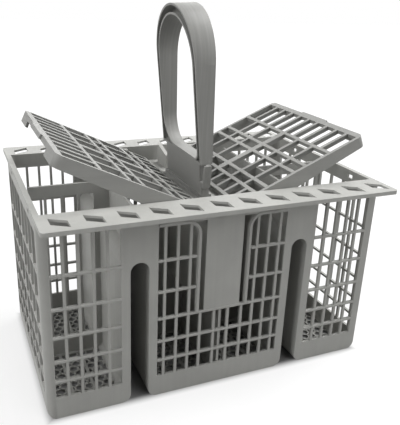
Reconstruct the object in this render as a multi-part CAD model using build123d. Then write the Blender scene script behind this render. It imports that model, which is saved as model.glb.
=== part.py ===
from build123d import *
import math
import os

os.makedirs("parts", exist_ok=True)

# Overall size of the basket, in millimetres
LENGTH = 245.0           # over the two end rims
DEPTH = 182.0            # over the two flanges
HEIGHT = 142.5           # floor to the top of the rim
WALL = 2.0
CORNER_RADIUS = 6.0      # upright corners
BOTTOM_RADIUS = 6.0      # lower corners of the three boxes

# Rim and flanges
RIM_WIDTH = 3.5
RIM_HEIGHT = 3.0
RIM_OVERHANG = 0.5       # how far the rim stands proud of the end walls
FLANGE_REACH = 21.0      # how far each flange stands out from its wall
FLANGE_THICKNESS = 1.6
FLANGE_LIP = 2.8         # height of the lip round the outside of the flange
FLANGE_LIP_WIDTH = 1.2
FLANGE_CORNER = 2.5
LEDGE = 4.4              # inner ledge of the front flange
HOLE_PITCH = 20.3
HOLE_WIDTH = 10.4
HOLE_LENGTH = 9.8
HOLE_SLANT = 6.0
HOLE_EDGE = 4.6          # flange left outside the holes
HOLE_END = 4.0           # least flange left beyond the row of holes
HOLE_SHIFT = 1.6         # row of holes off the middle of the flange

# Arched tunnels between the boxes
TUNNEL_X = 59.4
TUNNEL_WIDTH = 12.7
TUNNEL_DROP = 37.2       # crown of the arch below the rim

# Windows of the walls: rows that grow towards the top
ROWS = 6
ROW_BASE = 16.0
ROW_DROP = 13.0          # highest windows below the rim
ROW_GROWTH = 2.6
TOP_ROW_RISE = 2.2       # extra height of the top row in the end boxes
LOW_ROWS = 3             # rows below the centre pocket
BAR = 1.8
SIDE_COLUMNS = 5
SIDE_MARGIN = 6.0        # solid strip at each side of an end box
MIDDLE_MARGIN = 6.0      # solid strip beside each tunnel in the middle box
CENTRE_PITCH = 10.6
MIDDLE_PITCH = 8.8
END_COLUMNS = 4          # on each side of the middle of an end wall
END_MARGIN = 8.0
END_POST = 4.0
FRAME_RADIUS = 8.0       # upper inner corner of the windows beside the pocket
FRAME_DROP = 1.8         # those windows below the top row

# Catch holes of the end walls
CATCH_Y = 40.0
CATCH_WIDTH = 6.0
CATCH_HEIGHT = 3.0
CATCH_DROP = 0.8         # under the rim

# Centre pocket that carries the handle
POCKET_HALF = 13.6
POCKET_GAP = 3.6         # open slot of the wall beside the pocket
POCKET_GAP_DROP = 13.5   # top of that slot below the rim
POCKET_STRIP = 2.8       # strip between that slot and the windows
LAND_DROP = 12.5         # land of the handle below the rim
LAND_THICKNESS = 2.4

# Keeper post behind the handle
POST_WIDTH = 3.0
POST_GAP = 8.2           # from the plate of the handle
POST_REAR_GAP = 7.0      # from the rear wall
POST_RISE = 15.5         # above the land
POST_SLOPE = 5.0

# Inner dividing walls
DIVIDER_DROP = 4.2       # below the rim
DIVIDER_BAND = 8.3       # solid band along the top
CROSS_DROP = 12.5        # cross walls below the rim, where the lid skirts pass
DIVIDER_MIDDLE_SLOTS = 2
DIVIDER_END_SLOTS = 4
DIVIDER_HINGE_REACH = 1.5
DIVIDER_END_REACH = 4.0
DIVIDER_END_DROP = 2.5

# Floor
FLOOR_COLUMNS = 3        # in each end box, and on each side of the middle box
FLOOR_BAR = 2.2
FLOOR_MARGIN = 3.0

# Lids: the hinge pins, and the lid as it lies when shut
PIVOT_X = 31.5
PIVOT_DROP = 5.0         # axis below the top of the lid
LID_BELOW_RIM = 0.1
LID_INNER = 20.0         # hinge axis to the inner edge
LID_END_GAP = 1.8        # lid to end rim, without its lip
LID_SIDE_GAP = 0.6       # lid to the front ledge
LID_THICKNESS = 3.2
LID_SKIRT = 1.8
LID_SKIRT_DEPTH = 12.0   # at the hinge axis
LID_SKIRT_TIP = 8.0      # at the outer edge
LID_CORNER = 4.5
LEFT_RAISED = 25.0       # degrees, left lid as it stands open
RIGHT_RAISED = 23.3      # degrees, right lid as it stands open
LIP_HALF = 17.0
LIP_LENGTH = 1.4
SKIRT_OPEN_HALF = 38.0   # middle of the outer edge, with a shallow skirt
SKIRT_SHALLOW = 3.6
LID_BORDER = 2.6
LID_BAR = 2.1
LID_RIB = 5.0            # middle rib of the rows with few columns
LID_FINE = 5             # rows with this many columns a side have a plain middle bar
LID_CROSS_BARS = (0.150, 0.236, 0.444, 0.538, 0.728)    # shares of the lid from its hinge side
LID_ROW_COLUMNS = (5, 3, 3, 3, 3, 5)                    # on each side of the middle

# Hinge pins and their bosses
PIN_DIAMETER = 4.0
PIN_LENGTH = 3.6
PIN_CLEARANCE = 0.05
PIN_END_GAP = 0.5
BOSS_WIDTH = 10.0
BOSS_BELOW = 6.0         # boss below the axis
BOSS_ABOVE = 4.0

# Handle, with its heights above the land
HANDLE_Y = -0.75
HANDLE_LEAN = 3.2        # degrees, towards the left
LOOP_WIDTH = 73.5
LOOP_RISE = 129.3
PLATE_RISE = 25.7
STRAP = 5.6
STRAP_APEX = 7.4
STRAP_BASE = 2.8
STRAP_TOP_WIDTH = 17.5
STRAP_LOW_WIDTH = 9.0
STRAP_PLATE = 1.5
STRAP_WEB = 2.4
LOOP_REAR_RADIUS = 20.0
LOOP_FRONT_RADIUS = 5.0
PLATE_THICKNESS = 5.2
PLATE_WIDTH = 69.0
SHOULDER_WIDTH = 9.0
SHOULDER_HEIGHT = 2.7
SHOULDER_GAP = 0.3
FOOT_WIDTH = 60.0
FOOT_DEPTH = 9.0
FOOT_BARB = 1.4
FOOT_GAP = 0.4
TONGUE_WIDTH = 5.0
TONGUE_THICKNESS = 2.5
TONGUE_LOW = 8.5
TONGUE_RISE = 25.5
TONGUE_REACH = 6.0       # top of the tongue in front of the plate
TONGUE_ROOT = 3.5
TONGUE_NOTCH = 4.0       # end of the plate set back behind the tongue
TONGUE_HOLE_LENGTH = 8.0
TONGUE_HOLE_WIDTH = 5.0
TONGUE_HOLE_GAP = 3.0    # from the shoulder of the handle

# Worked out from the sizes above
BODY_HALF = LENGTH / 2 - RIM_OVERHANG
WALL_Y = DEPTH / 2 - FLANGE_REACH
FLANGE_BASE = HEIGHT - FLANGE_THICKNESS
ROW_TOP = HEIGHT - ROW_DROP
FRAME_TOP = ROW_TOP - FRAME_DROP
LAND_TOP = HEIGHT - LAND_DROP
DIVIDER_TOP = HEIGHT - DIVIDER_DROP
TUNNEL_TOP = HEIGHT - TUNNEL_DROP
TUNNEL_HALF = TUNNEL_WIDTH / 2
TUNNEL_SPRING = TUNNEL_TOP - TUNNEL_HALF
SIDE_INNER = TUNNEL_X + TUNNEL_HALF + SIDE_MARGIN
SIDE_OUTER = BODY_HALF - SIDE_MARGIN
MIDDLE_EDGE = TUNNEL_X - TUNNEL_HALF - MIDDLE_MARGIN
UPPER_EDGE = POCKET_HALF + POCKET_GAP + POCKET_STRIP
PIVOT_Z = HEIGHT - LID_BELOW_RIM - PIVOT_DROP
LID_OUTER = LENGTH / 2 - RIM_WIDTH - LID_END_GAP - PIVOT_X
LID_HALF = WALL_Y - WALL - LEDGE - LID_SIDE_GAP
LOOP_TOP = LAND_TOP + LOOP_RISE
LOOP_BASE = LAND_TOP + PLATE_RISE


def row_edges():
    """Heights of the level bars, with the lowest and highest edge of the windows."""
    first = (ROW_TOP - ROW_BASE) / ROWS - ROW_GROWTH * (ROWS - 1) / 2
    edges = [ROW_BASE]
    for row in range(ROWS):
        edges.append(edges[-1] + first + ROW_GROWTH * row)
    return edges


def even_edges(low, high, count, bar):
    """Bar centres that leave equal openings between two solid edges."""
    clear = (high - low - (count - 1) * bar) / count
    inner = [low + step * (clear + bar) - bar / 2 for step in range(1, count)]
    return [low] + inner + [high]


def clear_spans(edges, bar):
    """Openings between bars that are centred on the inner edges."""
    last = len(edges) - 2
    spans = []
    for index in range(last + 1):
        start = edges[index] + (bar / 2 if index > 0 else 0)
        end = edges[index + 1] - (bar / 2 if index < last else 0)
        spans.append((start, end))
    return spans


def window(across, up):
    """One rectangular opening, given by its two spans."""
    middle = Pos((across[0] + across[1]) / 2, (up[0] + up[1]) / 2)
    return middle * Rectangle(across[1] - across[0], up[1] - up[0])


def grid(columns, rows):
    return [window(across, up) for across in columns for up in rows]


def mirrored(spans):
    """The spans with their images on the other side of zero."""
    return [(-end, -start) for start, end in reversed(spans)] + list(spans)


def pierced(outline, holes):
    """The flat face of a wall with its holes left open."""
    return Face(outline.face().outer_wire(), [hole.face().outer_wire() for hole in holes])


def block(x_low, x_high, y_low, y_high, z_low, z_high):
    """A box given by its limits."""
    size = (x_high - x_low, y_high - y_low, z_high - z_low)
    return Pos((x_low + x_high) / 2, (y_low + y_high) / 2, (z_low + z_high) / 2) * Box(*size)


def both_sides(part):
    """A part with its image on the other side of the middle of the length."""
    return [part, mirror(part, about=Plane.YZ)]


def body_outline(height):
    """Front view of the three boxes and the tunnels between them."""
    outline = window((-BODY_HALF, BODY_HALF), (0, height))
    for side in (-1, 1):
        tunnel = window((-TUNNEL_HALF, TUNNEL_HALF), (-WALL, TUNNEL_SPRING))
        tunnel += Pos(0, TUNNEL_SPRING) * Circle(TUNNEL_HALF)
        outline -= Pos(side * TUNNEL_X, 0) * tunnel
    return fillet(outline.vertices().group_by(Axis.Y)[0], BOTTOM_RADIUS)


def rounded_frame(side):
    """Window area beside the pocket, round at its upper inner corner."""
    edges = row_edges()
    frame = window((UPPER_EDGE, MIDDLE_EDGE), (edges[LOW_ROWS] + BAR / 2, FRAME_TOP))
    corner = frame.vertices().sort_by(lambda v: v.Y - v.X)[-1]
    frame = fillet(corner, FRAME_RADIUS)
    return frame if side > 0 else mirror(frame, about=Plane.YZ)


def pocket_slot(side):
    """Open slot between the pocket and the strip round the windows beside it."""
    base = row_edges()[LOW_ROWS] + BAR / 2
    across = (side * POCKET_HALF, side * (UPPER_EDGE + FRAME_RADIUS))
    slot = window((min(across), max(across)), (base, HEIGHT - POCKET_GAP_DROP))
    return slot - offset(rounded_frame(side), POCKET_STRIP)


def tall_rows():
    """Rows of windows in the end boxes, with a taller top row."""
    rows = clear_spans(row_edges(), BAR)
    return rows[:-1] + [(rows[-1][0], ROW_TOP + TOP_ROW_RISE)]


def middle_edges():
    """Upright bars of the middle box, on one side of its middle."""
    bars = [CENTRE_PITCH / 2, CENTRE_PITCH * 3 / 2]
    while bars[-1] + MIDDLE_PITCH < MIDDLE_EDGE - BAR:
        bars.append(bars[-1] + MIDDLE_PITCH)
    return bars


def front_openings():
    """Windows of the front wall and the open slots beside the pocket."""
    rows = clear_spans(row_edges(), BAR)
    bars = middle_edges()
    side = clear_spans(even_edges(SIDE_INNER, SIDE_OUTER, SIDE_COLUMNS, BAR), BAR)
    low = clear_spans([-MIDDLE_EDGE] + [-bar for bar in reversed(bars)] + bars + [MIDDLE_EDGE], BAR)
    high = clear_spans([UPPER_EDGE] + [bar for bar in bars if bar > UPPER_EDGE] + [MIDDLE_EDGE], BAR)
    holes = grid(mirrored(side), tall_rows()) + grid(low, rows[:LOW_ROWS])
    for direction in (-1, 1):
        spans = high if direction > 0 else [(-end, -start) for start, end in high]
        frame = rounded_frame(direction)
        holes += [hole & frame for hole in grid(spans, rows[LOW_ROWS:])]
        holes.append(pocket_slot(direction))
    return holes


def front_wall():
    face = Plane.XZ.offset(WALL_Y - WALL) * pierced(body_outline(HEIGHT), front_openings())
    return extrude(face, WALL, dir=(0, -1, 0))


def end_openings():
    """Windows and catch holes of the right end wall."""
    half = clear_spans(even_edges(END_POST / 2, WALL_Y - END_MARGIN, END_COLUMNS, BAR), BAR)
    catch_top = HEIGHT - RIM_HEIGHT - CATCH_DROP
    catch = (CATCH_Y - CATCH_WIDTH / 2, CATCH_Y + CATCH_WIDTH / 2)
    holes = grid(mirrored(half), tall_rows())
    holes += grid(mirrored([catch]), [(catch_top - CATCH_HEIGHT, catch_top)])
    return extrude(Plane.YZ.offset(BODY_HALF) * (Sketch() + holes), -WALL)


def floor_openings():
    """Openings of the floor, in from the round corners of each box."""
    end_box = (TUNNEL_X + TUNNEL_HALF + BOTTOM_RADIUS, BODY_HALF - BOTTOM_RADIUS)
    middle_box = (WALL / 2 + FLOOR_MARGIN, TUNNEL_X - TUNNEL_HALF - BOTTOM_RADIUS)
    columns = []
    for low, high in (middle_box, end_box):
        columns += clear_spans(even_edges(low, high, FLOOR_COLUMNS, FLOOR_BAR), FLOOR_BAR)
    row = (WALL / 2 + FLOOR_MARGIN, WALL_Y - WALL - FLOOR_MARGIN)
    return extrude(Sketch() + grid(mirrored(columns), mirrored([row])), WALL)


def boxes():
    """End walls, floors and tunnels in one strip, with the end windows and the floor open."""
    strip = body_outline(HEIGHT + WALL)
    strip -= offset(strip, -WALL, kind=Kind.INTERSECTION)
    strip &= window((-LENGTH, LENGTH), (0, HEIGHT))
    shell = extrude(Plane.XZ * strip, WALL_Y - WALL, both=True)
    return shell - [floor_openings(), *both_sides(end_openings())]


def flange_hole():
    """Slanted hole, from its rear left corner."""
    left = [(0, 0), (0, -HOLE_LENGTH)]
    right = [(HOLE_WIDTH, -HOLE_LENGTH - HOLE_SLANT), (HOLE_WIDTH, -HOLE_SLANT)]
    return make_face(Polyline(*left, *right, close=True))


def flange(ledge):
    """Front flange with its row of slanted holes, a lip round its outside and a ledge inside the wall."""
    inner = WALL + ledge - WALL_Y
    plate = window((-LENGTH / 2, LENGTH / 2), (-DEPTH / 2, inner))
    plate = fillet(plate.vertices().group_by(Axis.Y)[0], FLANGE_CORNER)
    count = 1 + int((LENGTH - 2 * HOLE_END - HOLE_WIDTH) / HOLE_PITCH)
    first = HOLE_SHIFT - ((count - 1) * HOLE_PITCH + HOLE_WIDTH) / 2
    rear = HOLE_EDGE + HOLE_LENGTH + HOLE_SLANT - DEPTH / 2
    holes = [Pos(first + step * HOLE_PITCH, rear) * flange_hole() for step in range(count)]
    inside = LENGTH / 2 - FLANGE_LIP_WIDTH
    lip = plate - window((-inside, inside), (FLANGE_LIP_WIDTH - DEPTH / 2, 0))
    lip &= window((-LENGTH, LENGTH), (-DEPTH, -WALL_Y))
    top = extrude(Pos(0, 0, FLANGE_BASE) * pierced(plate, holes), FLANGE_THICKNESS, dir=(0, 0, 1))
    return top + extrude(Pos(0, 0, HEIGHT - FLANGE_LIP) * lip, FLANGE_LIP)


def end_rim():
    return block(LENGTH / 2 - RIM_WIDTH, LENGTH / 2, -WALL_Y, WALL_Y, HEIGHT - RIM_HEIGHT, HEIGHT)


def long_divider():
    """Half of the wall along the basket, with tall slots, low where the lid turns and ends."""
    hinge = PIVOT_X + DIVIDER_HINGE_REACH
    end = BODY_HALF - WALL
    low_end = end - DIVIDER_END_REACH
    end_top = DIVIDER_TOP - DIVIDER_END_DROP
    floor_box = TUNNEL_X - TUNNEL_HALF - WALL / 2
    profile = window((0, floor_box), (WALL / 2, row_edges()[LOW_ROWS]))
    profile += window((POCKET_HALF - WALL / 2, floor_box), (WALL / 2, LAND_TOP))
    profile += window((floor_box, 2 * TUNNEL_X - floor_box), (TUNNEL_TOP + WALL / 2, DIVIDER_TOP))
    profile += window((hinge, floor_box), (WALL / 2, DIVIDER_TOP))
    profile += window((2 * TUNNEL_X - floor_box, low_end), (WALL / 2, DIVIDER_TOP))
    profile += window((low_end, end), (WALL / 2, end_top))
    columns = clear_spans(even_edges(UPPER_EDGE, MIDDLE_EDGE, DIVIDER_MIDDLE_SLOTS, BAR), BAR)
    columns += clear_spans(even_edges(SIDE_INNER, SIDE_OUTER, DIVIDER_END_SLOTS, BAR), BAR)
    face = pierced(profile, grid(columns, [(ROW_BASE, DIVIDER_TOP - DIVIDER_BAND)]))
    return extrude(Plane.XZ.offset(-WALL / 2) * face, WALL, dir=(0, -1, 0))


def cross_wall():
    """Wall across the basket above a tunnel, low where the lid skirts pass."""
    inside = WALL_Y - WALL
    high = LID_HALF - 2 * LID_SKIRT - LID_SIDE_GAP
    base = TUNNEL_TOP + WALL / 2
    left, right = TUNNEL_X - WALL / 2, TUNNEL_X + WALL / 2
    wall = block(left, right, -inside, inside, base, HEIGHT - CROSS_DROP)
    return wall + block(left, right, -high, high, base, DIVIDER_TOP)


def pocket():
    """Hollow pocket under the handle, with the wall below it and the keeper post on its land."""
    inside = WALL_Y - WALL
    pocket_base = row_edges()[LOW_ROWS] - BAR / 2
    side = block(POCKET_HALF - WALL, POCKET_HALF, -inside, inside, pocket_base, LAND_TOP)
    below = block(-WALL / 2, WALL / 2, -inside, inside, WALL / 2, pocket_base + BAR)
    land = block(-POCKET_HALF, POCKET_HALF, -inside, inside, LAND_TOP - LAND_THICKNESS, LAND_TOP)
    post_front = HANDLE_Y + PLATE_WIDTH / 2 + POST_GAP
    post_rear = inside - POST_REAR_GAP
    post_base = LAND_TOP - LAND_THICKNESS / 2
    post_side = [
        (post_front, post_base),
        (post_rear, post_base),
        (post_rear, LAND_TOP + POST_RISE),
        (post_front, LAND_TOP + POST_RISE - POST_SLOPE),
    ]
    post = extrude(Plane.YZ * make_face(Polyline(*post_side, close=True)), POST_WIDTH / 2, both=True)
    return [*both_sides(side), below, land, post]


def land_openings():
    """Slot for the foot of the handle, with room for its lean, and the hole before it."""
    room = FOOT_GAP + (FOOT_DEPTH + SHOULDER_GAP) * math.tan(math.radians(HANDLE_LEAN))
    foot = Pos(0, HANDLE_Y) * Rectangle(PLATE_THICKNESS + 2 * room, FOOT_WIDTH + 2 * FOOT_GAP)
    hole_y = HANDLE_Y - PLATE_WIDTH / 2 - TONGUE_HOLE_GAP - TONGUE_HOLE_LENGTH / 2
    hole = Pos(0, hole_y) * Rectangle(TONGUE_HOLE_WIDTH, TONGUE_HOLE_LENGTH)
    return extrude(Pos(0, 0, LAND_TOP) * (foot + hole), -LAND_THICKNESS)


def hinge_boss(direction):
    """Boss on a wall that takes a lid pin, and the hole in it."""
    inner = LID_HALF + LID_SIDE_GAP
    outer = WALL_Y - WALL / 2
    boss = block(
        PIVOT_X - BOSS_WIDTH / 2,
        PIVOT_X + BOSS_WIDTH / 2,
        min(direction * inner, direction * outer),
        max(direction * inner, direction * outer),
        PIVOT_Z - BOSS_BELOW,
        PIVOT_Z + BOSS_ABOVE,
    )
    depth = LID_HALF + PIN_LENGTH + PIN_END_GAP - inner
    hole = Plane((PIVOT_X, direction * inner, PIVOT_Z), z_dir=(0, direction, 0))
    bore = extrude(hole * Circle(PIN_DIAMETER / 2 + PIN_CLEARANCE), depth)
    return boss, bore


def all_corners(part):
    """A part of one upright corner with its images at the other three."""
    pair = both_sides(part)
    return pair + [mirror(corner, about=Plane.XZ) for corner in pair]


def round_corner():
    """Rounded wall of an upright corner, and what is taken off outside it."""
    centre = Pos(BODY_HALF - CORNER_RADIUS, WALL_Y - CORNER_RADIUS)
    square = window((0, CORNER_RADIUS), (0, CORNER_RADIUS))
    outside = extrude(centre * (square - Circle(CORNER_RADIUS)), FLANGE_BASE)
    wall = extrude(centre * (square - Circle(CORNER_RADIUS - WALL)), FLANGE_BASE)
    body = extrude(Plane.XZ * body_outline(HEIGHT), WALL_Y, both=True)
    return wall & body, outside


def make_basket():
    front = front_wall()
    pieces = [front, mirror(front, about=Plane.XZ)]
    pieces += [flange(LEDGE), mirror(flange(0), about=Plane.XZ)]
    for part in (end_rim(), long_divider(), cross_wall()):
        pieces += both_sides(part)
    pieces += pocket()
    bores = []
    for direction in (-1, 1):
        boss, bore = hinge_boss(direction)
        pieces += both_sides(boss)
        bores += both_sides(bore)
    corner, outside = round_corner()
    pieces += all_corners(corner)
    return boxes() + pieces - bores - land_openings() - all_corners(outside)


def lid_openings():
    """Rows of openings in the lid, from the hinge to the outer edge."""
    length = LID_INNER + LID_OUTER
    bars = [share * length - LID_INNER for share in LID_CROSS_BARS]
    edges = [LID_BORDER - LID_INNER, *bars, LID_OUTER - LID_BORDER - LID_SKIRT]
    holes = []
    for across, count in zip(clear_spans(edges, LID_BAR), LID_ROW_COLUMNS):
        rib = LID_BAR if count >= LID_FINE else LID_RIB
        half = clear_spans(even_edges(rib / 2, LID_HALF - LID_BORDER, count, LID_BAR), LID_BAR)
        holes += grid([across], mirrored(half))
    return holes


def lid_skirt_view():
    """Side view of the skirt, deepest at the hinge axis and round about it."""
    reach = LID_OUTER + LIP_LENGTH
    depth = LID_SKIRT_DEPTH - PIVOT_DROP
    corners = [(0, PIVOT_DROP), (0, -depth), (reach, PIVOT_DROP - LID_SKIRT_TIP), (reach, PIVOT_DROP)]
    return make_face(Polyline(*corners, close=True)) + Circle(depth)


def make_lid(raised):
    """Right-hand lid, raised by an angle on its hinge axis."""
    plan = window((-LID_INNER, LID_OUTER), (-LID_HALF, LID_HALF))
    plan = fillet(plan.vertices().group_by(Axis.X)[-1], LID_CORNER)
    inside = offset(plan, -LID_SKIRT)
    under = PIVOT_DROP - LID_THICKNESS
    low = PIVOT_DROP - LID_SKIRT_DEPTH
    plate = extrude(Pos(0, 0, under) * pierced(plan, lid_openings()), LID_THICKNESS, dir=(0, 0, 1))
    skirt = extrude(Pos(0, 0, low) * (plan - inside), LID_SKIRT_DEPTH - LID_THICKNESS)
    skirt &= extrude(Plane.XZ * lid_skirt_view(), LID_HALF, both=True)
    shallow = PIVOT_DROP - SKIRT_SHALLOW
    skirt -= block(LID_INNER, 2 * LID_OUTER, -SKIRT_OPEN_HALF, SKIRT_OPEN_HALF, low, shallow)
    lip = block(LID_OUTER - LID_SKIRT, LID_OUTER + LIP_LENGTH, -LIP_HALF, LIP_HALF, under, PIVOT_DROP)
    pins = []
    for direction in (-1, 1):
        seat = Plane((0, direction * (LID_HALF - LID_SKIRT), 0), z_dir=(0, direction, 0))
        pins.append(extrude(seat * Circle(PIN_DIAMETER / 2), PIN_LENGTH + LID_SKIRT))
    lid = plate + [skirt, lip, *pins]
    return Pos(PIVOT_X, 0, PIVOT_Z) * Rot(0, -raised, 0) * lid


def loop_outline(inset):
    """Outside of the carrying loop, drawn in by an inset."""
    half = LOOP_WIDTH / 2 - inset
    spring = LOOP_TOP - LOOP_WIDTH / 2
    return window((-half, half), (LOOP_BASE + inset, spring)) + Pos(0, spring) * Circle(half)


def loop_opening(outset):
    """Opening for the hand, drawn out by an outset, with a wide sweep into the rear leg."""
    half = LOOP_WIDTH / 2 - STRAP + outset
    spring = LOOP_TOP - STRAP_APEX + STRAP - LOOP_WIDTH / 2
    legs = window((-half, half), (LOOP_BASE + STRAP_BASE - outset, spring))
    front, rear = legs.vertices().group_by(Axis.Y)[0].sort_by(Axis.X)
    legs = fillet(rear, LOOP_REAR_RADIUS + outset)
    front = legs.vertices().sort_by(lambda v: v.X + v.Y)[0]
    return fillet(front, LOOP_FRONT_RADIUS + outset) + Pos(0, spring) * Circle(half)


def loop():
    """Loop with an I-shaped strap that widens towards the top."""
    ring = extrude(Plane.YZ * (loop_outline(0) - loop_opening(0)), STRAP_TOP_WIDTH / 2, both=True)
    taper = [
        (-STRAP_LOW_WIDTH / 2, LOOP_BASE),
        (STRAP_LOW_WIDTH / 2, LOOP_BASE),
        (STRAP_TOP_WIDTH / 2, LOOP_TOP),
        (-STRAP_TOP_WIDTH / 2, LOOP_TOP),
    ]
    ring &= extrude(Plane.XZ * make_face(Polyline(*taper, close=True)), LOOP_WIDTH, both=True)
    groove = loop_outline(STRAP_PLATE) - loop_opening(STRAP_PLATE)
    groove = extrude(Plane.YZ.offset(STRAP_WEB / 2) * groove, STRAP_TOP_WIDTH)
    return ring - both_sides(groove)


def tongue():
    """Spring tongue that rises from the foot of the plate, leaning forward."""
    root = -PLATE_WIDTH / 2
    low = LAND_TOP + TONGUE_LOW
    high = LAND_TOP + TONGUE_RISE
    side = [
        (root, low),
        (root - TONGUE_THICKNESS, low),
        (root - TONGUE_REACH, high),
        (root - TONGUE_REACH + TONGUE_THICKNESS, high),
        (root - TONGUE_THICKNESS / 3, low + TONGUE_ROOT),
        (root, low + TONGUE_ROOT),
    ]
    return extrude(Plane.YZ * make_face(Polyline(*side, close=True)), TONGUE_WIDTH / 2, both=True)


def foot():
    """Foot through the land, with a barb along each side under it."""
    half = PLATE_THICKNESS / 2
    room = FOOT_GAP + (FOOT_DEPTH + SHOULDER_GAP) * math.tan(math.radians(HANDLE_LEAN))
    barb_top = LAND_TOP - LAND_THICKNESS - FOOT_GAP - room
    base = LAND_TOP - FOOT_DEPTH
    right = [
        (half, LAND_TOP + SHOULDER_GAP),
        (half, barb_top),
        (half + room + FOOT_BARB, barb_top),
        (half - FOOT_BARB, base),
    ]
    left = [(-x, z) for x, z in reversed(right)]
    return extrude(Plane.XZ * make_face(Polyline(*right, *left, close=True)), FOOT_WIDTH / 2, both=True)


def make_handle():
    """Loop, plate, tongue and foot, leaning on the land."""
    seat = LAND_TOP + SHOULDER_GAP
    half = PLATE_WIDTH / 2
    shoulder_top = seat + SHOULDER_HEIGHT
    plate = block(-PLATE_THICKNESS / 2, PLATE_THICKNESS / 2, -half, half, seat, LOOP_BASE)
    notch_base = LAND_TOP + TONGUE_LOW + TONGUE_ROOT
    plate -= block(-PLATE_THICKNESS, PLATE_THICKNESS, -half, TONGUE_NOTCH - half, notch_base, LOOP_BASE)
    shoulder = block(-SHOULDER_WIDTH / 2, SHOULDER_WIDTH / 2, -half, half, seat, shoulder_top)
    handle = loop() + [plate, shoulder, tongue(), foot()]
    return Pos(0, HANDLE_Y, LAND_TOP) * Rot(0, -HANDLE_LEAN, 0) * Pos(0, 0, -LAND_TOP) * handle


nodes = {
    "basket": make_basket(),
    "handle": make_handle(),
    "lid_right": make_lid(RIGHT_RAISED),
    "lid_left": mirror(make_lid(LEFT_RAISED), about=Plane.YZ),
}
for name, part in nodes.items():
    export_step(part, f"parts/{name}.step")
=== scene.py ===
import math

import bmesh
import bpy
from mathutils import Matrix, Vector


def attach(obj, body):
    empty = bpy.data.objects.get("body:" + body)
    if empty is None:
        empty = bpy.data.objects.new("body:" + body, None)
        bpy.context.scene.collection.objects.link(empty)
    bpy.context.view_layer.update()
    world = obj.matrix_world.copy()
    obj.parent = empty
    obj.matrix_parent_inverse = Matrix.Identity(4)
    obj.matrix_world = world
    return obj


MM = 0.001

# Camera, as fitted to the photograph
CAMERA_PLACE = (-0.1624, -0.3851, 0.2697)
CAMERA_AZIMUTH = -24.394
CAMERA_ELEVATION = 21.294
CAMERA_ROLL = 2.498
FOCAL_PIXELS = 580.56
IMAGE_HEIGHT = 425
SENSOR = 36.0
CLIP_START = 0.01

# Colours of the moulded plastic, linear
BASKET_COLOUR = (0.360, 0.360, 0.342)
HANDLE_COLOUR = (0.240, 0.240, 0.229)
LID_COLOUR = (0.268, 0.268, 0.256)

# Edge rounding of the mouldings, in metres
BASKET_EDGE = 0.4 * MM
LID_EDGE = 0.4 * MM
HANDLE_EDGE = 0.6 * MM
EDGE_ANGLE = 40.0
EDGE_SEGMENTS = 2
WELD_DISTANCE = 0.002 * MM

# Strength of the flow marks in each moulding
BASKET_STREAK = 0.025
HANDLE_STREAK = 0.08
LID_STREAK = 0.035

# Shine of each moulding
BASKET_SHINE = 0.15
HANDLE_SHINE = 0.25
LID_SHINE = 0.2

# Direction of the flow marks in each moulding: marks a metre along x, y and z
BASKET_FLOW = (320.0, 320.0, 12.0)
HANDLE_FLOW = (800.0, 22.0, 22.0)
LID_FLOW = (15.0, 420.0, 420.0)

# Clouding, gloss and grain of the plastic
NOISE_LOW = 0.3
NOISE_HIGH = 0.7
CLOUD_SCALE = 35.0
CLOUD_DETAIL = 4.0
CLOUD_DEPTH = 0.05
MARK_DETAIL = 3.0
GLOSS_SCALE = 2.0
ROUGHNESS_LOW = 0.40
ROUGHNESS_HIGH = 0.60
GRAIN_SCALE = 2600.0
GRAIN_DETAIL = 2.0
GRAIN_STRENGTH = 0.18
GRAIN_DEPTH = 0.05 * MM

# Walls of the basket, in millimetres
WALL_Y = 70.0
BODY_HALF = 122.0
TUNNEL_INNER = 53.05
TUNNEL_OUTER = 65.75
SIDE_MARGIN = 6.0
MIDDLE_EDGE = 47.05
UPPER_EDGE = 20.0
ROWS = 6
LOW_ROWS = 3
ROW_BASE = 16.0
ROW_TOP = 129.5
ROW_GROWTH = 2.6
FRAME_TOP = 127.7
FRAME_RADIUS = 8.0
FRAME_STRIP = 2.8

# Level rails, proud of the upright bars, in millimetres
RAIL = 1.9
RAIL_PROUD = 0.3
RAIL_SUNK = 0.4
RAIL_EDGE = 0.35 * MM

# Bead round the windows beside the pocket, in millimetres
BEAD = 2.0
BEAD_PROUD = 0.8
BEAD_STEPS = 8
BEAD_EDGE = 0.5 * MM

# Honeycomb mesh of the floor, in millimetres
MESH_SIDE = 3.8
MESH_BAR = 1.4
MESH_LOW = 0.5
MESH_HIGH = 1.7
MESH_REACH = 66.0

# Lids and their grille, in millimetres from the hinge axis, with the angles at which they stand
PIVOT_X = 31.5
PIVOT_Z = 137.4
LEFT_RAISED = 25.0
RIGHT_RAISED = 23.3
LID_TOP = 5.0
LID_INNER = 20.0
LID_LENGTH = 105.7
LID_BORDER = 2.6
LID_SKIRT = 1.8
LID_SIDE = 60.4
LID_BAR = 2.1
LID_RIB = 5.0
LID_FINE = 5
LID_CROSS_BARS = (0.150, 0.236, 0.444, 0.538, 0.728)
LID_ROW_COLUMNS = (5, 3, 3, 3, 3, 5)

# Rounded tops of the lids' bars, in millimetres
CAP_OVERHANG = 0.4
CAP_PROUD = 0.2
CAP_SUNK = 0.8
CAP_STEP = 0.05
CAP_EDGE = 0.35 * MM

# Ground with painted shade under the basket, and white backdrop
FLOOR_SIZE = 8.0
FLOOR_DROP = 0.05 * MM
FLOOR_SEEN = 0.24
# Glow of the open ground; painted shade takes it to nought under the basket
FLOOR_GLOW = 0.74
# Painted shade on the ground under the basket: its half length and half depth, and its soft edge
SHADE_HALF_LENGTH = 116.0 * MM
SHADE_HALF_DEPTH = 66.0 * MM
SHADE_EDGE = 10.0 * MM
# Colour the open ground bounces; painted shade takes it to nought under the basket
FLOOR_BOUNCE = 0.25
WHITE = (1, 1, 1, 1)
WORLD_STRENGTH = 0.01

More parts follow.
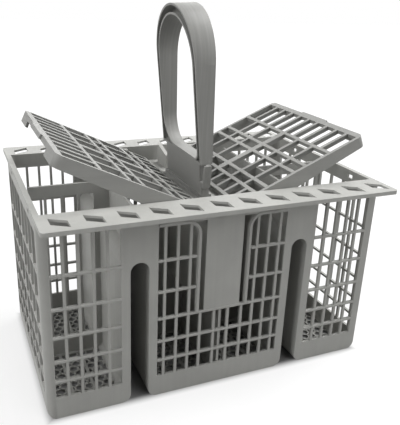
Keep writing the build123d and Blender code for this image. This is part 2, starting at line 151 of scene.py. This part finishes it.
# Soft lights: direction towards each, spread in degrees and strength
KEY_TOWARDS = (0.45, 0.10, 0.88)
KEY_SPREAD = 32.0
KEY_STRENGTH = 3.0
FRONT_TOWARDS = (0.55, -0.65, 0.50)
FRONT_SPREAD = 60.0
FRONT_STRENGTH = 1.7
LEFT_TOWARDS = (-0.88, -0.05, 0.46)
LEFT_SPREAD = 50.0
LEFT_STRENGTH = 2.3
BACK_TOWARDS = (0.35, 0.88, 0.32)
BACK_SPREAD = 60.0
BACK_STRENGTH = 1.0


def link(tree, source, output, target, entry):
    tree.links.new(source.outputs[output], target.inputs[entry])


def node(tree, kind, **settings):
    made = tree.nodes.new(kind)
    for name, value in settings.items():
        setattr(made, name, value)
    return made


def noise(tree, source, output, scale, detail):
    made = node(tree, "ShaderNodeTexNoise")
    made.inputs["Scale"].default_value = scale
    made.inputs["Detail"].default_value = detail
    link(tree, source, output, made, "Vector")
    return made


def remap(tree, source, low, high):
    made = node(tree, "ShaderNodeMapRange")
    made.inputs["From Min"].default_value = NOISE_LOW
    made.inputs["From Max"].default_value = NOISE_HIGH
    made.inputs["To Min"].default_value = low
    made.inputs["To Max"].default_value = high
    link(tree, source, "Fac", made, "Value")
    return made


def moulded_plastic(name, colour, flow, streak, shine):
    """Matte injection-moulded plastic: faint clouding, flow marks, fine grain and uneven gloss."""
    material = bpy.data.materials.new(name)
    material.use_nodes = True
    tree = material.node_tree
    shader = tree.nodes["Principled BSDF"]
    shader.inputs["Specular IOR Level"].default_value = shine
    coordinates = node(tree, "ShaderNodeTexCoord")
    stretch = node(tree, "ShaderNodeMapping")
    stretch.inputs["Scale"].default_value = flow
    link(tree, coordinates, "Object", stretch, "Vector")
    clouding = noise(tree, coordinates, "Object", CLOUD_SCALE, CLOUD_DETAIL)
    clouds = remap(tree, clouding, 1 - CLOUD_DEPTH, 1 + CLOUD_DEPTH)
    marking = noise(tree, stretch, "Vector", 1.0, MARK_DETAIL)
    marks = remap(tree, marking, 1 - streak, 1 + streak)
    shade = node(tree, "ShaderNodeMath", operation="MULTIPLY")
    link(tree, clouds, "Result", shade, 0)
    link(tree, marks, "Result", shade, 1)
    tint = node(tree, "ShaderNodeMix", data_type="RGBA", blend_type="MULTIPLY")
    tint.inputs["Factor"].default_value = 1.0
    tint.inputs["A"].default_value = (*colour, 1.0)
    link(tree, shade, "Value", tint, "B")
    link(tree, tint, "Result", shader, "Base Color")
    patches = noise(tree, stretch, "Vector", GLOSS_SCALE, MARK_DETAIL)
    gloss = remap(tree, patches, ROUGHNESS_LOW, ROUGHNESS_HIGH)
    link(tree, gloss, "Result", shader, "Roughness")
    bump = node(tree, "ShaderNodeBump")
    bump.inputs["Strength"].default_value = GRAIN_STRENGTH
    bump.inputs["Distance"].default_value = GRAIN_DEPTH
    grain = noise(tree, coordinates, "Object", GRAIN_SCALE, GRAIN_DETAIL)
    link(tree, grain, "Fac", bump, "Height")
    link(tree, bump, "Normal", shader, "Normal")
    return material


def round_edges(obj, edge):
    bevel = obj.modifiers.new("edges", "BEVEL")
    bevel.width = edge
    bevel.segments = EDGE_SEGMENTS
    bevel.limit_method = "ANGLE"
    bevel.angle_limit = math.radians(EDGE_ANGLE)
    bevel.use_clamp_overlap = True
    bevel.harden_normals = False


def dress(obj, material, edge):
    """Gives a moulding its plastic and softly rounded edges."""
    obj.data.materials.clear()
    obj.data.materials.append(material)
    weld = obj.modifiers.new("weld", "WELD")
    weld.merge_threshold = WELD_DISTANCE
    round_edges(obj, edge)


def add_box(bm, low, high):
    """Adds a box to a mesh, given by its limits in millimetres."""
    size = [(b - a) * MM for a, b in zip(low, high)]
    middle = [(a + b) / 2 * MM for a, b in zip(low, high)]
    matrix = Matrix.Translation(middle) @ Matrix.Diagonal((*size, 1.0))
    bmesh.ops.create_cube(bm, size=1.0, matrix=matrix)


def add_piece(name, bm, material, body):
    mesh = bpy.data.meshes.new(name)
    bm.to_mesh(mesh)
    bm.free()
    mesh.materials.append(material)
    piece = bpy.data.objects.new(name, mesh)
    bpy.context.collection.objects.link(piece)
    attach(piece, body)
    return piece


def row_edges():
    """Heights of the level bars, with the lowest and highest edge of the windows."""
    first = (ROW_TOP - ROW_BASE) / ROWS - ROW_GROWTH * (ROWS - 1) / 2
    edges = [ROW_BASE]
    for row in range(ROWS):
        edges.append(edges[-1] + first + ROW_GROWTH * row)
    return edges


def add_rails(material):
    """Rounded rails along the level bars of the front and rear walls."""
    bm = bmesh.new()
    side = (TUNNEL_OUTER + SIDE_MARGIN, BODY_HALF - SIDE_MARGIN)
    for index, height in enumerate(row_edges()[1:-1], start=1):
        low, high = height - RAIL / 2, height + RAIL / 2
        spans = [side, (-side[1], -side[0])]
        if index <= LOW_ROWS:
            spans.append((-MIDDLE_EDGE, MIDDLE_EDGE))
        else:
            spans += [(UPPER_EDGE, MIDDLE_EDGE), (-MIDDLE_EDGE, -UPPER_EDGE)]
        for start, end in spans:
            add_box(bm, (start, -WALL_Y - RAIL_PROUD, low), (end, RAIL_SUNK - WALL_Y, high))
            add_box(bm, (start, WALL_Y - RAIL_SUNK, low), (end, WALL_Y + RAIL_PROUD, high))
    round_edges(add_piece("level_rails", bm, material, "basket"), RAIL_EDGE)


def bead_path():
    """Middle of the strip round the windows beside the pocket, from its foot over the shoulder."""
    radius = FRAME_RADIUS + FRAME_STRIP / 2
    path = [(UPPER_EDGE - FRAME_STRIP / 2, row_edges()[LOW_ROWS])]
    for step in range(BEAD_STEPS + 1):
        turn = math.pi - math.pi / 2 * step / BEAD_STEPS
        x = UPPER_EDGE + FRAME_RADIUS + radius * math.cos(turn)
        path.append((x, FRAME_TOP - FRAME_RADIUS + radius * math.sin(turn)))
    path.append((MIDDLE_EDGE, FRAME_TOP + FRAME_STRIP / 2))
    return path


def run_bead(bm, path, near, far):
    """Runs a narrow strip along a path in a wall, between two depths."""
    rings = []
    for index, point in enumerate(path):
        before = Vector(path[max(index - 1, 0)])
        after = Vector(path[min(index + 1, len(path) - 1)])
        along = (after - before).normalized()
        side = Vector((-along.y, along.x)) * BEAD / 2
        left, right = Vector(point) + side, Vector(point) - side
        corners = [(left, near), (left, far), (right, far), (right, near)]
        rings.append([bm.verts.new((at.x * MM, y * MM, at.y * MM)) for at, y in corners])
    for ring, following in zip(rings, rings[1:]):
        for corner in range(4):
            ends = (corner, (corner + 1) % 4)
            bm.faces.new([ring[ends[0]], ring[ends[1]], following[ends[1]], following[ends[0]]])
    bm.faces.new(rings[0])
    bm.faces.new(rings[-1])


def add_beads(material):
    """Raised beads round the windows beside the pocket, on the front and rear walls."""
    bm = bmesh.new()
    for direction in (-1, 1):
        path = [(direction * x, z) for x, z in bead_path()]
        for wall in (-1, 1):
            run_bead(bm, path, wall * (WALL_Y - RAIL_SUNK), wall * (WALL_Y + BEAD_PROUD))
    bmesh.ops.recalc_face_normals(bm, faces=bm.faces)
    round_edges(add_piece("frame_beads", bm, material, "basket"), BEAD_EDGE)


def grille_bars():
    """Limits in plan of a lid's bars, across it and along its rows, with each top's step down."""
    across = [share * LID_LENGTH - LID_INNER for share in LID_CROSS_BARS]
    half = LID_BAR / 2 + CAP_OVERHANG
    bars = [((x - half, x + half), (-LID_SIDE, LID_SIDE), 0) for x in across]
    edges = [LID_BORDER - LID_INNER, *across, LID_LENGTH - LID_INNER - LID_BORDER - LID_SKIRT]
    for start, end, count in zip(edges, edges[1:], LID_ROW_COLUMNS):
        rib = LID_BAR if count >= LID_FINE else LID_RIB
        pitch = (LID_SIDE - rib / 2 + LID_BAR) / count
        middles = [rib / 2 + step * pitch - LID_BAR / 2 for step in range(1, count)]
        spans = [(-rib / 2 - CAP_OVERHANG, rib / 2 + CAP_OVERHANG)]
        for y in middles:
            spans += [(y - half, y + half), (-y - half, half - y)]
        bars += [((start, end), span, CAP_STEP) for span in spans]
    return bars


def add_caps(name, body, direction, raised, material):
    """Rounded tops along the bars of one lid, as it stands raised."""
    bm = bmesh.new()
    for (start, end), (near, far), step in grille_bars():
        add_box(bm, (start, near, LID_TOP - CAP_SUNK), (end, far, LID_TOP + CAP_PROUD - step))
    lift = Matrix.Rotation(math.radians(-raised), 4, "Y")
    hinge = Matrix.Translation((PIVOT_X * MM, 0, PIVOT_Z * MM))
    flip = Matrix.Diagonal((direction, 1, 1, 1))
    bmesh.ops.transform(bm, matrix=flip @ hinge @ lift, verts=bm.verts)
    bmesh.ops.recalc_face_normals(bm, faces=bm.faces)
    round_edges(add_piece(name, bm, material, body), CAP_EDGE)


def add_bar(bm, start, end):
    """Adds a level bar of the floor mesh between two points in plan."""
    along = Vector(end) - Vector(start)
    middle = (Vector(start) + Vector(end)) / 2
    place = Vector((middle.x, middle.y, (MESH_LOW + MESH_HIGH) / 2)) * MM
    size = (along.length * MM, MESH_BAR * MM, (MESH_HIGH - MESH_LOW) * MM, 1.0)
    turn = Matrix.Rotation(math.atan2(along.y, along.x), 4, "Z")
    matrix = Matrix.Translation(place) @ turn @ Matrix.Diagonal(size)
    bmesh.ops.create_cube(bm, size=1.0, matrix=matrix)


def add_floor_mesh(material):
    """Honeycomb mesh inside the floor of each box."""
    bm = bmesh.new()
    boxes = [(-TUNNEL_INNER, TUNNEL_INNER), (TUNNEL_OUTER, BODY_HALF), (-BODY_HALF, -TUNNEL_OUTER)]
    across = MESH_SIDE * math.sqrt(3)
    pitch = MESH_SIDE * 3 / 2
    rows = int(2 * MESH_REACH / pitch)
    for left, right in boxes:
        low, high = left + SIDE_MARGIN, right - SIDE_MARGIN
        columns = int((high - low) / across)
        shift = (low + high - (columns - 0.5) * across) / 2
        for row in range(rows):
            y = (row - (rows - 1) / 2) * pitch
            for column in range(columns):
                x = shift + (column + row % 2 / 2) * across
                top = (x, y + MESH_SIDE)
                upper = (x + across / 2, y + MESH_SIDE / 2)
                lower = (x + across / 2, y - MESH_SIDE / 2)
                add_bar(bm, (x - across / 2, y + MESH_SIDE / 2), top)
                add_bar(bm, top, upper)
                add_bar(bm, upper, lower)
    add_piece("floor_mesh", bm, material, "basket")


def camera_axes():
    """Right, up and back of the camera in the part's frame."""
    azimuth = math.radians(CAMERA_AZIMUTH)
    elevation = math.radians(CAMERA_ELEVATION)
    roll = math.radians(CAMERA_ROLL)
    back = Vector((
        math.sin(azimuth) * math.cos(elevation),
        -math.cos(azimuth) * math.cos(elevation),
        math.sin(elevation),
    ))
    right = (-back).cross(Vector((0, 0, 1))).normalized()
    up = right.cross(-back)
    rolled_right = right * math.cos(roll) + up * math.sin(roll)
    rolled_up = up * math.cos(roll) - right * math.sin(roll)
    return rolled_right, rolled_up, back


def add_camera():
    data = bpy.data.cameras.new("camera")
    data.sensor_fit = "VERTICAL"
    data.sensor_height = SENSOR
    data.lens = FOCAL_PIXELS / IMAGE_HEIGHT * SENSOR
    data.clip_start = CLIP_START
    camera = bpy.data.objects.new("camera", data)
    bpy.context.collection.objects.link(camera)
    turn = Matrix(camera_axes()).transposed().to_4x4()
    camera.matrix_world = Matrix.Translation(CAMERA_PLACE) @ turn
    bpy.context.scene.camera = camera


def add_sun(name, towards, spread, strength):
    """Soft light from a wide patch of sky."""
    data = bpy.data.lights.new(name, "SUN")
    data.angle = math.radians(spread)
    data.energy = strength
    lamp = bpy.data.objects.new(name, data)
    bpy.context.collection.objects.link(lamp)
    lamp.rotation_euler = Vector(towards).to_track_quat("Z", "Y").to_euler()


def seen_rays(tree):
    """One where the camera, a reflection or a clear material looks, nought for bounced light."""
    path = node(tree, "ShaderNodeLightPath")
    straight = node(tree, "ShaderNodeMath", operation="MAXIMUM")
    link(tree, path, "Is Camera Ray", straight, 0)
    link(tree, path, "Is Transmission Ray", straight, 1)
    seen = node(tree, "ShaderNodeMath", operation="MAXIMUM")
    link(tree, straight, "Value", seen, 0)
    link(tree, path, "Is Glossy Ray", seen, 1)
    return seen


def add_world():
    """Even ambient light, and a white backdrop where the camera looks past the object."""
    world = bpy.data.worlds.new("world")
    world.use_nodes = True
    bpy.context.scene.world = world
    tree = world.node_tree
    tree.nodes.clear()
    ambient = node(tree, "ShaderNodeBackground")
    ambient.inputs["Strength"].default_value = WORLD_STRENGTH
    ambient.inputs["Color"].default_value = WHITE
    white = node(tree, "ShaderNodeBackground")
    white.inputs["Strength"].default_value = 1.0
    white.inputs["Color"].default_value = WHITE
    mix = node(tree, "ShaderNodeMixShader")
    out = node(tree, "ShaderNodeOutputWorld")
    link(tree, seen_rays(tree), "Value", mix, 0)
    link(tree, ambient, "Background", mix, 1)
    link(tree, white, "Background", mix, 2)
    link(tree, mix, "Shader", out, "Surface")


def painted_ground_shade(tree, level):
    """Painted shade on the ground: nought under the basket, rising to a level where the ground
    lies open.
    """
    coordinates = node(tree, "ShaderNodeTexCoord")
    split = node(tree, "ShaderNodeSeparateXYZ")
    link(tree, coordinates, "Object", split, "Vector")
    beyond = node(tree, "ShaderNodeMath", operation="MAXIMUM")
    for entry, (axis, half) in enumerate((("X", SHADE_HALF_LENGTH), ("Y", SHADE_HALF_DEPTH))):
        away = node(tree, "ShaderNodeMath", operation="ABSOLUTE")
        link(tree, split, axis, away, 0)
        past = node(tree, "ShaderNodeMath", operation="SUBTRACT")
        link(tree, away, "Value", past, 0)
        past.inputs[1].default_value = half
        link(tree, past, "Value", beyond, entry)
    rise = node(tree, "ShaderNodeMapRange", interpolation_type="SMOOTHSTEP")
    rise.inputs["From Max"].default_value = SHADE_EDGE
    rise.inputs["To Max"].default_value = level
    link(tree, beyond, "Value", rise, "Value")
    return rise


def floor_material():
    """White ground that takes the object's shadow, with painted shade under the basket in its glow
    and in the colour it bounces.
    """
    material = bpy.data.materials.new("floor")
    material.use_nodes = True
    tree = material.node_tree
    tree.nodes.clear()
    dull = node(tree, "ShaderNodeBsdfDiffuse")
    # Painted shade: the bounced colour falls to nought under the basket
    link(tree, painted_ground_shade(tree, FLOOR_BOUNCE), "Result", dull, "Color")
    pale = node(tree, "ShaderNodeBsdfDiffuse")
    pale.inputs["Color"].default_value = (FLOOR_SEEN, FLOOR_SEEN, FLOOR_SEEN, 1)
    glow = node(tree, "ShaderNodeEmission")
    # Painted shade: the glow the camera sees falls to nought under the basket
    link(tree, painted_ground_shade(tree, FLOOR_GLOW), "Result", glow, "Strength")
    bright = node(tree, "ShaderNodeAddShader")
    mix = node(tree, "ShaderNodeMixShader")
    out = node(tree, "ShaderNodeOutputMaterial")
    link(tree, pale, "BSDF", bright, 0)
    link(tree, glow, "Emission", bright, 1)
    link(tree, seen_rays(tree), "Value", mix, 0)
    link(tree, dull, "BSDF", mix, 1)
    link(tree, bright, "Shader", mix, 2)
    link(tree, mix, "Shader", out, "Surface")
    return material


def add_floor():
    bpy.ops.mesh.primitive_plane_add(size=FLOOR_SIZE, location=(0, 0, -FLOOR_DROP))
    floor = bpy.context.active_object
    floor.name = "floor"
    floor.data.materials.append(floor_material())


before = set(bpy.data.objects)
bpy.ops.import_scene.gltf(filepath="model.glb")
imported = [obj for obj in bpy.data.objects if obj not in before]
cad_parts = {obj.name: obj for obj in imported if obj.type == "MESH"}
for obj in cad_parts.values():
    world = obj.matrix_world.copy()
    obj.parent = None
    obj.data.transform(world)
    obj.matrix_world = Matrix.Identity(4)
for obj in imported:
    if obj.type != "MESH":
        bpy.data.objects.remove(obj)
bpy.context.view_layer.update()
bpy.context.scene.view_settings.view_transform = "Standard"

basket_plastic = moulded_plastic(
    "basket_plastic", BASKET_COLOUR, BASKET_FLOW, BASKET_STREAK, BASKET_SHINE
)
handle_plastic = moulded_plastic(
    "handle_plastic", HANDLE_COLOUR, HANDLE_FLOW, HANDLE_STREAK, HANDLE_SHINE
)
lid_plastic = moulded_plastic(
    "lid_plastic", LID_COLOUR, LID_FLOW, LID_STREAK, LID_SHINE
)
dress(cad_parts["basket"], basket_plastic, BASKET_EDGE)
dress(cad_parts["handle"], handle_plastic, HANDLE_EDGE)
dress(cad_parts["lid_left"], lid_plastic, LID_EDGE)
dress(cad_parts["lid_right"], lid_plastic, LID_EDGE)
add_rails(basket_plastic)
add_beads(basket_plastic)
add_floor_mesh(basket_plastic)
add_caps("lid_left_caps", "lid_left", -1, LEFT_RAISED, lid_plastic)
add_caps("lid_right_caps", "lid_right", 1, RIGHT_RAISED, lid_plastic)

add_floor()
add_world()
add_sun("key", KEY_TOWARDS, KEY_SPREAD, KEY_STRENGTH)
add_sun("front", FRONT_TOWARDS, FRONT_SPREAD, FRONT_STRENGTH)
add_sun("left", LEFT_TOWARDS, LEFT_SPREAD, LEFT_STRENGTH)
add_sun("back", BACK_TOWARDS, BACK_SPREAD, BACK_STRENGTH)
add_camera()
